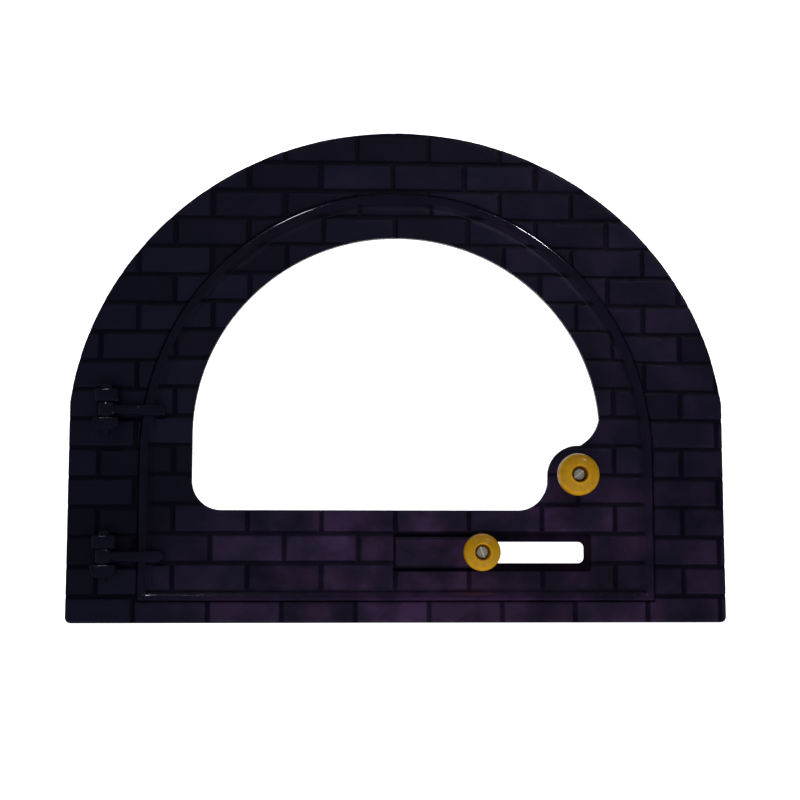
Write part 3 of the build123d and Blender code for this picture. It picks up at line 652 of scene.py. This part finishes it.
def new_material(name):
    material = bpy.data.materials.new(name)
    material.use_nodes = True
    tree = material.node_tree
    tree.nodes.clear()
    output = tree.nodes.new("ShaderNodeOutputMaterial")
    shader = tree.nodes.new("ShaderNodeBsdfPrincipled")
    tree.links.new(shader.outputs["BSDF"], output.inputs["Surface"])
    return material, tree, shader


def node(tree, kind, links=(), **inputs):
    """New shader node with some inputs set and some linked from other nodes' outputs."""
    made = tree.nodes.new("ShaderNode" + kind)
    for name, value in inputs.items():
        made.inputs[name.replace("_", " ")].default_value = value
    for name, output in links:
        tree.links.new(output, made.inputs[name])
    return made


def object_place(tree, centre=(0, 0, 0), scale=(1, 1, 1)):
    """Object coordinates, moved so that a centre becomes the origin."""
    where = tree.nodes.new("ShaderNodeTexCoord")
    mapping = tree.nodes.new("ShaderNodeMapping")
    mapping.inputs["Location"].default_value = [-c * s for c, s in zip(centre, scale)]
    mapping.inputs["Scale"].default_value = scale
    tree.links.new(where.outputs["Object"], mapping.inputs["Vector"])
    return mapping.outputs["Vector"]


def noise_texture(tree, vector, scale, detail=3.0, roughness=0.5):
    made = node(tree, "TexNoise", [("Vector", vector)], Scale=scale, Detail=detail, Roughness=roughness)
    return made.outputs["Fac"]


def span(tree, value, reach, result):
    """Value carried from one range into another, and held at its ends."""
    made = node(tree, "MapRange", [("Value", value)])
    for name, number in zip(("From Min", "From Max", "To Min", "To Max"), (*reach, *result)):
        made.inputs[name].default_value = number
    return made.outputs["Result"]


def feed(tree, socket, value):
    """Link an output into a socket, or set the socket's own number or colour."""
    if isinstance(value, bpy.types.NodeSocket):
        tree.links.new(value, socket)
    elif isinstance(value, float):
        socket.default_value = value
    else:
        socket.default_value = (*value, 1.0)


def calc(tree, operation, first, second):
    made = tree.nodes.new("ShaderNodeMath")
    made.operation = operation
    feed(tree, made.inputs[0], first)
    feed(tree, made.inputs[1], second)
    return made.outputs[0]


def mix(tree, blend, share, first, second):
    """Colour mix whose parts are outputs, colours or, for the share, a number."""
    made = tree.nodes.new("ShaderNodeMix")
    made.data_type = "RGBA"
    made.blend_type = blend
    feed(tree, made.inputs[0], share)
    feed(tree, made.inputs[6], first)
    feed(tree, made.inputs[7], second)
    return made.outputs[2]


def ramp(tree, value, stops):
    made = tree.nodes.new("ShaderNodeValToRGB")
    elements = made.color_ramp.elements
    while len(elements) < len(stops):
        elements.new(0.5)
    for element, (position, color) in zip(elements, stops):
        element.position = position
        element.color = (*color, 1.0) if len(color) == 3 else color
    tree.links.new(value, made.inputs["Fac"])
    return made.outputs["Color"]


def grey(value):
    return (value, value, value)


def add_bump(tree, shader, heights, distance):
    """Chain of bumps, each height with its own strength, into the shader's normal."""
    normal = None
    for height, strength in heights:
        bump = node(tree, "Bump", [("Height", height)], Strength=strength, Distance=distance)
        if normal:
            tree.links.new(normal, bump.inputs["Normal"])
        normal = bump.outputs["Normal"]
    tree.links.new(normal, shader.inputs["Normal"])


def brick_tones(tree, axes, bond):
    """A shade for each brick, and a dark one along its joints and beds."""
    face = node(tree, "CombineXYZ", [("X", axes.outputs["X"]), ("Y", axes.outputs["Z"])])
    start = tree.nodes.new("ShaderNodeMapping")
    start.inputs["Location"].default_value = (-bond.joints[0] - bond.brick / 2, -bond.bed_start, 0)
    tree.links.new(face.outputs["Vector"], start.inputs["Vector"])
    bricks = node(
        tree, "TexBrick", [("Vector", start.outputs["Vector"])], Scale=1.0, Bias=0.0,
        Mortar_Size=2.3 * MM, Mortar_Smooth=0.5, Brick_Width=bond.brick, Row_Height=bond.course,
        Color1=(0.7, 0.7, 0.7, 1), Color2=(1.35, 1.35, 1.35, 1), Mortar=(0.25, 0.25, 0.35, 1))
    return bricks.outputs["Color"]


def plum_light_share(tree, where, axes):
    """Share of the painted plum light, a painted reflection: patchy, highest at the lower middle, with a
    little more to the right.
    """
    far = node(tree, "VectorMath", [("Vector", object_place(tree, PLUM_LIGHT_CENTRE, PLUM_LIGHT_FADE))])
    far.operation = "LENGTH"
    near = span(tree, far.outputs["Value"], (1.0, 0.1), (0.0, 1.0))
    across = span(tree, axes.outputs["X"], (-0.20, 0.22), (0.0, 0.16))
    lit_share = calc(tree, "ADD", calc(tree, "MULTIPLY", near, 0.75), across)
    patches = ramp(tree, noise_texture(tree, where, 34.0, 4.0), [
        (0.38, grey(0.3)), (0.50, grey(0.8)), (0.66, grey(1.8))])
    return calc(tree, "MULTIPLY", lit_share, patches)


def paint_material(finish, name, bond, recess_shade_tone):
    """Near-black paint on a sand casting, dull on the bricks and glossy on what stands in front of them.

    The depth, as a share of PAINT_DEPTH, tells the brick faces from the recess behind and the rim in front.
    The recess gets painted shade: its colour is darkened to the tone in the last argument."""
    material, tree, shader = new_material(name)
    where = object_place(tree)
    axes = node(tree, "SeparateXYZ", [("Vector", where)])
    bricks = brick_tones(tree, axes, bond)
    depth = span(tree, axes.outputs["Y"], (0, -PAINT_DEPTH), (0, 1))
    on_face = ramp(tree, depth, [(0.63, grey(0)), (0.66, grey(1)), (0.76, grey(1)), (0.785, grey(0))])
    in_front = ramp(tree, depth, [(0.76, grey(0)), (0.785, grey(1))])
    # Painted shade in the recess behind the brick faces
    recess_shade = ramp(tree, depth, [
        (0.60, grey(1)), (0.625, grey(recess_shade_tone)), (0.66, grey(recess_shade_tone)), (0.675, grey(1))])
    shade = mix(tree, "MULTIPLY", 1.0, mix(tree, "MIX", on_face, REST_TONE, bricks), recess_shade)
    # Painted light: the plum reflection is mixed into the paint's colour
    tone = mix(tree, "MIX", plum_light_share(tree, where, axes), finish.paint, finish.painted_plum_light)
    tree.links.new(mix(tree, "MULTIPLY", 1.0, tone, shade), shader.inputs["Base Color"])
    smooth, rough = finish.paint_roughness, finish.brick_roughness
    dull = ramp(tree, noise_texture(tree, where, 60.0, 5.0, 0.6), [
        (0.35, grey(rough)), (0.7, grey(rough + 0.12))])
    tree.links.new(mix(tree, "MIX", on_face, grey(smooth), dull), shader.inputs["Roughness"])
    tree.links.new(in_front, shader.inputs["Coat Weight"])
    shader.inputs["Coat Roughness"].default_value = 0.06
    shader.inputs["Specular IOR Level"].default_value = finish.paint_gloss
    shader.inputs["Specular Tint"].default_value = (*finish.paint_sheen, 1.0)
    grains = noise_texture(tree, where, 900.0, 2.0)
    lumps = noise_texture(tree, where, 170.0, 4.0, 0.55)
    add_bump(tree, shader, [(lumps, 0.35), (grains, 0.08)], 1.2 * MM)
    return material


def varnish_material(finish, name, knob):
    """Amber varnish over turned wood, with painted shade in the screw hole and at the edge, and painted
    highlights on lip and belly.
    """
    material, tree, shader = new_material(name)
    flat = object_place(tree, (knob.x, 0, knob.z), (1, 0, 1))
    length = node(tree, "VectorMath", [("Vector", flat)])
    length.operation = "LENGTH"
    # Painted highlights on the lip and belly and painted shade in the hole and at the edge, by distance from
    # the axis
    varnish_highlight = tuple(min(1.0, 1.25 * channel) for channel in finish.varnish)
    light_rings = ramp(tree, calc(tree, "DIVIDE", length.outputs["Value"], knob.radius), [
        (0.0, finish.varnish_shade), (0.35, finish.varnish_shade), (0.42, varnish_highlight), (0.55, finish.varnish),
        (0.80, finish.varnish), (0.93, varnish_highlight), (1.0, finish.varnish_shade)])
    where = object_place(tree, (knob.x, 0, knob.z), (1, 0.25, 1))
    grain = ramp(tree, noise_texture(tree, where, 260.0, 4.0, 0.6), [
        (0.35, (0.6, 0.5, 0.3)), (0.62, grey(1.0))])
    tree.links.new(mix(tree, "MULTIPLY", 0.4, light_rings, grain), shader.inputs["Base Color"])
    shader.inputs["Roughness"].default_value = 0.42
    shader.inputs["Specular IOR Level"].default_value = 0.2
    shader.inputs["Coat Weight"].default_value = 0.3
    shader.inputs["Coat Roughness"].default_value = 0.08
    add_bump(tree, shader, [(noise_texture(tree, where, 400.0, 2.0), 0.06)], 0.5 * MM)
    return material


def metal_material(name, color, roughness, metallic):
    """Plated or oiled steel with fine marks and dull patches."""
    material, tree, shader = new_material(name)
    where = object_place(tree)
    patches = noise_texture(tree, where, 240.0, 4.0, 0.6)
    dark = tuple(channel * 0.55 for channel in color)
    tree.links.new(ramp(tree, patches, [(0.3, dark), (0.65, tuple(color))]), shader.inputs["Base Color"])
    tree.links.new(ramp(tree, patches, [(0.3, grey(roughness + 0.15)), (0.7, grey(roughness))]),
                   shader.inputs["Roughness"])
    shader.inputs["Metallic"].default_value = metallic
    add_bump(tree, shader, [(noise_texture(tree, where, 1400.0, 2.0), 0.12)], 0.3 * MM)
    return material


def slotted_zinc(finish, name, slot_floor):
    """Weathered screw head whose slot is coloured bright as a painted glint; slot_floor is the depth of the
    slot's floor.
    """
    material, tree, shader = new_material(name)
    where = object_place(tree)
    axes = node(tree, "SeparateXYZ", [("Vector", where)])
    # Painted glint inside the slot
    in_slot = span(tree, axes.outputs["Y"], (-slot_floor - 1.2 * MM, -slot_floor - 0.3 * MM), (0.0, 1.0))
    tone = mix(tree, "MIX", in_slot, tuple(finish.zinc), tuple(finish.slot_glint))
    tree.links.new(tone, shader.inputs["Base Color"])
    shader.inputs["Metallic"].default_value = 0.2
    shader.inputs["Roughness"].default_value = 0.45
    add_bump(tree, shader, [(noise_texture(tree, where, 900.0, 2.0), 0.12)], 0.3 * MM)
    return material


def glass_material(finish):
    """Clear pane with faint waves."""
    material, tree, shader = new_material("clear_pane")
    where = object_place(tree)
    shader.inputs["Base Color"].default_value = (*finish.glass, 1.0)
    shader.inputs["Transmission Weight"].default_value = 1.0
    shader.inputs["IOR"].default_value = 1.47
    shader.inputs["Roughness"].default_value = 0.0
    add_bump(tree, shader, [(noise_texture(tree, where, 6.0, 1.0), 0.02)], 0.5 * MM)
    return material


def tape_material(finish):
    """Plain weave of glass-fibre tape."""
    material, tree, shader = new_material("glass_fibre_tape")
    where = object_place(tree)
    heights = []
    for direction in ("X", "Z"):
        band = node(tree, "TexWave", [("Vector", where)], Scale=420.0, Distortion=0.6, Detail=1.0)
        band.bands_direction = direction
        heights.append((band.outputs["Fac"], 0.5))
    fluff = noise_texture(tree, where, 500.0, 3.0)
    dark = tuple(channel * 0.7 for channel in finish.tape)
    tree.links.new(ramp(tree, fluff, [(0.3, dark), (0.7, tuple(finish.tape))]), shader.inputs["Base Color"])
    shader.inputs["Roughness"].default_value = 0.9
    shader.inputs["Sheen Weight"].default_value = 0.3
    add_bump(tree, shader, heights, 0.3 * MM)
    return material


def finish_material(name):
    """The material of that name, made on first use."""
    if name in bpy.data.materials:
        return bpy.data.materials[name]
    finish = bpy.context.scene.oven_door_finish
    makers = {
        # The last number is the painted shade of the recess; only the leaf's recess is darkened
        "frame_paint": lambda: paint_material(finish, "frame_paint", FRAME_BOND, 1.0),
        "leaf_paint": lambda: paint_material(finish, "leaf_paint", LEAF_BOND, 0.4),
        "slide_paint": lambda: paint_material(finish, "slide_paint", SLIDE_BOND, 1.0),
        "latch_varnish": lambda: varnish_material(finish, "latch_varnish", LATCH_KNOB),
        "damper_varnish": lambda: varnish_material(finish, "damper_varnish", DAMPER_KNOB),
        "dull_zinc": lambda: metal_material("dull_zinc", finish.zinc, 0.4, 0.85),
        "latch_screw_zinc": lambda: slotted_zinc(finish, "latch_screw_zinc", SLOT_FLOORS["latch_screw"]),
        "damper_screw_zinc": lambda: slotted_zinc(finish, "damper_screw_zinc", SLOT_FLOORS["damper_screw"]),
        "oiled_steel": lambda: metal_material("oiled_steel", finish.steel, 0.42, 1.0),
        "clear_pane": lambda: glass_material(finish),
        "glass_fibre_tape": lambda: tape_material(finish),
    }
    return makers[name]()


def cad_back(node, depth):
    """What a CAD casting has behind a depth, as a closed piece."""
    bm = cad_copy(node)
    cut_front(bm, depth)
    bmesh.ops.delete(bm, geom=[face for face in bm.faces if face.calc_area() < LEAST_AREA], context="FACES")
    return bm_object(node + "_back", bm)


def cover(cad, material):
    """Give a CAD node's object a finish."""
    cad.data.materials.clear()
    cad.data.materials.append(finish_material(material))


class OVENDOOR_OT_frame_casting(bpy.types.Operator):
    """Cast frame: brick relief, skirt, seat, anchor bosses and hinge lugs"""

    bl_idname = "ovendoor.frame_casting"
    bl_label = "Frame casting"

    def execute(self, context):
        relief = context.scene.oven_door_relief
        back = FRAME_FLOOR - CUT_BELOW_FLOOR
        low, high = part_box("frame")
        margin = 1 * MM
        extent = (low.x - margin, high.x + margin, low.z - margin, high.z + margin)
        face = relief_sheet("frame_face", FRAME_BOND, extent, back - margin,
                            lambda x, z: frame_depth(relief, x, z))
        outline = section_prism("frame_outline", "frame", back - margin, back - 0.1 * MM, LUG_FRONT)
        boolean(face, outline, "INTERSECT")
        pieces = [cad_back("frame", back), face]
        pieces += [bm_object(name + "_copy", cad_copy(name)) for name in REAR_NODES]
        offset = KNUCKLE_HEIGHT / 2 + LUG_GAP
        for height in HINGE_HEIGHTS:
            pieces.append(hinge_lug(height + offset, hanging=False))
            pieces.append(hinge_lug(height - offset - LUG_HEIGHT, hanging=True))
        casting = joined("frame_casting", pieces)
        shade_smooth(casting)
        place(casting, "frame", finish_material("frame_paint"), FRAME_NODES)
        return {"FINISHED"}


class OVENDOOR_OT_leaf_casting(bpy.types.Operator):
    """Cast leaf: brick relief, raised rim, window edge, damper recess and hinge arms"""

    bl_idname = "ovendoor.leaf_casting"
    bl_label = "Leaf casting"

    def execute(self, context):
        relief = context.scene.oven_door_relief
        back = LEAF_FLOOR - CUT_BELOW_FLOOR
        margin = 1 * MM
        left = LEAF_ARCH.centre - LEAF_ARCH.half_width
        right = LEAF_ARCH.centre + LEAF_ARCH.half_width
        extent = (left - margin, right + margin, LEAF_ARCH.base - margin, LEAF_ARCH.crown + margin)
        face = relief_sheet("leaf_face", LEAF_BOND, extent, back - margin,
                            lambda x, z: leaf_depth(relief, x, z))
        outline = section_prism("leaf_outline", "door_leaf", back, back - 0.1 * MM, LUG_FRONT)
        boolean(face, outline, "INTERSECT")
        pieces = [cad_back("door_leaf", back), face, rim_bead(relief)]
        for height in HINGE_HEIGHTS:
            pieces += hinge_arm(height)
        casting = joined("leaf_casting", pieces)
        shade_smooth(casting)
        place(casting, "leaf", finish_material("leaf_paint"), ["door_leaf"])
        return {"FINISHED"}


class OVENDOOR_OT_damper_slide(bpy.types.Operator):
    """Brick-shaped slide of the air damper"""

    bl_idname = "ovendoor.damper_slide"
    bl_label = "Damper slide"

    def execute(self, context):
        relief = context.scene.oven_door_relief
        low, high = SLIDE_LOW, SLIDE_HIGH

        def depth(x, z):
            rim = min(x - low.x, high.x - x, z - low.z, high.z - z)
            waves = relief.face_waviness * wave(x, z, 11 * MM, 61.0)
            return -low.y - SLIDE_EDGE_DROP * (1 - smooth_step(rim / SLIDE_EDGE_ROUND)) - abs(waves)

        piece = relief_sheet("damper_slide", SLIDE_BOND, (low.x, high.x, low.z, high.z), -high.y, depth)
        shade_smooth(piece)
        place(piece, "damper", finish_material("slide_paint"), ["damper_plate"])
        return {"FINISHED"}


class OVENDOOR_OT_knobs(bpy.types.Operator):
    """Turned knobs of the latch and the damper"""

    bl_idname = "ovendoor.knobs"
    bl_label = "Knobs"

    def execute(self, context):
        for body, knob in (("latch", LATCH_KNOB), ("damper", DAMPER_KNOB)):
            varnish = finish_material(body + "_varnish")
            turned_knob(body + "_turned_knob", knob, body, body + "_knob", varnish)
        return {"FINISHED"}


class OVENDOOR_OT_hardware(bpy.types.Operator):
    """Finish of the pins, screws, washers, clips and latch pieces"""

    bl_idname = "ovendoor.hardware"
    bl_label = "Hardware"

    def execute(self, context):
        finishes = {"zinc_steel": "dull_zinc", "dark_steel": "oiled_steel"}
        slots = {part["node"]: part["material_slot"] for part in frame["record"]["subparts"]}
        for name, cad in frame["nodes"].items():
            if name.startswith("hinge_pin"):
                cover(cad, "frame_paint")
            elif name in SLOT_FLOORS:
                cover(cad, name + "_zinc")
            elif slots[name] in finishes:
                cover(cad, finishes[slots[name]])
        return {"FINISHED"}


class OVENDOOR_OT_glazing(bpy.types.Operator):
    """Finish of the pane and the tape behind the window's edge"""

    bl_idname = "ovendoor.glazing"
    bl_label = "Glazing"

    def execute(self, context):
        cover(frame["nodes"]["glass_pane"], "clear_pane")
        cover(frame["nodes"]["glass_gasket"], "glass_fibre_tape")
        return {"FINISHED"}


def spot_light(lamp):
    """Soft round lamp whose cone fades out towards its edge."""
    light = bpy.data.lights.new(lamp.name, "SPOT")
    light.energy = lamp.power
    light.color = LAMP_COLOR
    light.shadow_soft_size = lamp.radius
    light.spot_size = lamp.cone
    light.spot_blend = 0.8
    made = bpy.data.objects.new(lamp.name, light)
    made.location = lamp.place
    aim = Vector(lamp.target) - Vector(lamp.place)
    made.rotation_euler = aim.to_track_quat("-Z", "Y").to_euler()
    made.visible_glossy = lamp.in_gloss
    bpy.context.scene.collection.objects.link(made)


def paper_material(studio):
    """White paper that glows under and behind the door and fades away in front of it."""
    material, tree, shader = new_material("studio_paper")
    axes = node(tree, "SeparateXYZ", [("Vector", object_place(tree))])
    along = span(tree, axes.outputs["Y"], (-1.5, 1.0), (0, 1))
    glow = ramp(tree, along, [(0.16, grey(0.02)), (0.24, grey(0.76)), (0.72, grey(0.8))])
    shader.inputs["Base Color"].default_value = (*studio.backdrop, 1.0)
    shader.inputs["Roughness"].default_value = 0.9
    shader.inputs["Specular IOR Level"].default_value = 0.0
    shader.inputs["Emission Color"].default_value = (1.0, 1.0, 1.0, 1.0)
    tree.links.new(calc(tree, "MULTIPLY", glow, 1.4), shader.inputs["Emission Strength"])
    return material


class OVENDOOR_OT_studio(bpy.types.Operator):
    """Pale floor and wall, soft lights and the camera"""

    bl_idname = "ovendoor.studio"
    bl_label = "Studio"

    def execute(self, context):
        studio = context.scene.oven_door_studio
        bm = bmesh.new()
        bmesh.ops.create_grid(bm, x_segments=1, y_segments=1, size=FLOOR_HALF_SIZE)
        bmesh.ops.translate(bm, verts=bm.verts, vec=(0, FLOOR_MIDDLE, 0))
        far = [edge for edge in bm.edges if all(vert.co.y > FLOOR_MIDDLE for vert in edge.verts)]
        wall = bmesh.ops.extrude_edge_only(bm, edges=far)
        risen = [item for item in wall["geom"] if isinstance(item, bmesh.types.BMVert)]
        bmesh.ops.translate(bm, verts=risen, vec=(0, 0, WALL_HEIGHT))
        bevel(bm, far, WALL_BEND, 12)
        bmesh.ops.recalc_face_normals(bm, faces=bm.faces)
        backdrop = bm_object("studio_floor", bm)
        shade_smooth(backdrop, radians(80))
        backdrop.data.materials.append(paper_material(studio))
        backdrop.visible_glossy = False

        for lamp in LAMPS:
            spot_light(lamp)

        world = bpy.data.worlds.new("dim_room")
        world.use_nodes = True
        room = world.node_tree.nodes["Background"]
        room.inputs["Color"].default_value = ROOM_COLOR
        room.inputs["Strength"].default_value = ROOM_STRENGTH
        context.scene.world = world
        context.scene.view_settings.view_transform = "Standard"

        camera = bpy.data.objects.new("camera", bpy.data.cameras.new("camera"))
        camera.data.sensor_width = SENSOR_WIDTH
        camera.data.lens = studio.lens
        camera.data.dof.use_dof = False
        camera.location = studio.camera_place
        camera.rotation_euler = studio.camera_turn
        context.scene.collection.objects.link(camera)
        context.scene.camera = camera
        return {"FINISHED"}


class OVENDOOR_PT_pieces(bpy.types.Panel):
    """The door's pieces, in the order in which they are made"""

    bl_idname = "OVENDOOR_PT_pieces"
    bl_label = "Oven door"
    bl_space_type = "VIEW_3D"
    bl_region_type = "UI"
    bl_category = "Oven door"

    def draw(self, context):
        for group in (getattr(context.scene, name) for name in GROUPS):
            box = self.layout.box()
            for name in group.bl_rna.properties.keys():
                if name not in ("rna_type", "name"):
                    box.prop(group, name)
        for operator in OPERATORS:
            self.layout.operator(operator.bl_idname)


OPERATORS = (
    OVENDOOR_OT_frame_casting,
    OVENDOOR_OT_leaf_casting,
    OVENDOOR_OT_damper_slide,
    OVENDOOR_OT_knobs,
    OVENDOOR_OT_hardware,
    OVENDOOR_OT_glazing,
    OVENDOOR_OT_studio,
)
GROUPS = {
    "oven_door_relief": OvenDoorRelief,
    "oven_door_finish": OvenDoorFinish,
    "oven_door_studio": OvenDoorStudio,
}


def register():
    for group in GROUPS.values():
        bpy.utils.register_class(group)
    for name, group in GROUPS.items():
        setattr(bpy.types.Scene, name, PointerProperty(type=group))
    for operator in OPERATORS:
        bpy.utils.register_class(operator)
    bpy.utils.register_class(OVENDOOR_PT_pieces)


def unregister():
    bpy.utils.unregister_class(OVENDOOR_PT_pieces)
    for operator in reversed(OPERATORS):
        bpy.utils.unregister_class(operator)
    for name in GROUPS:
        delattr(bpy.types.Scene, name)
    for group in reversed(GROUPS.values()):
        bpy.utils.unregister_class(group)


def main():
    register()
    bpy.ops.ovendoor.frame_casting()
    bpy.ops.ovendoor.leaf_casting()
    bpy.ops.ovendoor.damper_slide()
    bpy.ops.ovendoor.knobs()
    bpy.ops.ovendoor.hardware()
    bpy.ops.ovendoor.glazing()
    bpy.ops.ovendoor.studio()


if __name__ == "__main__":
    main()
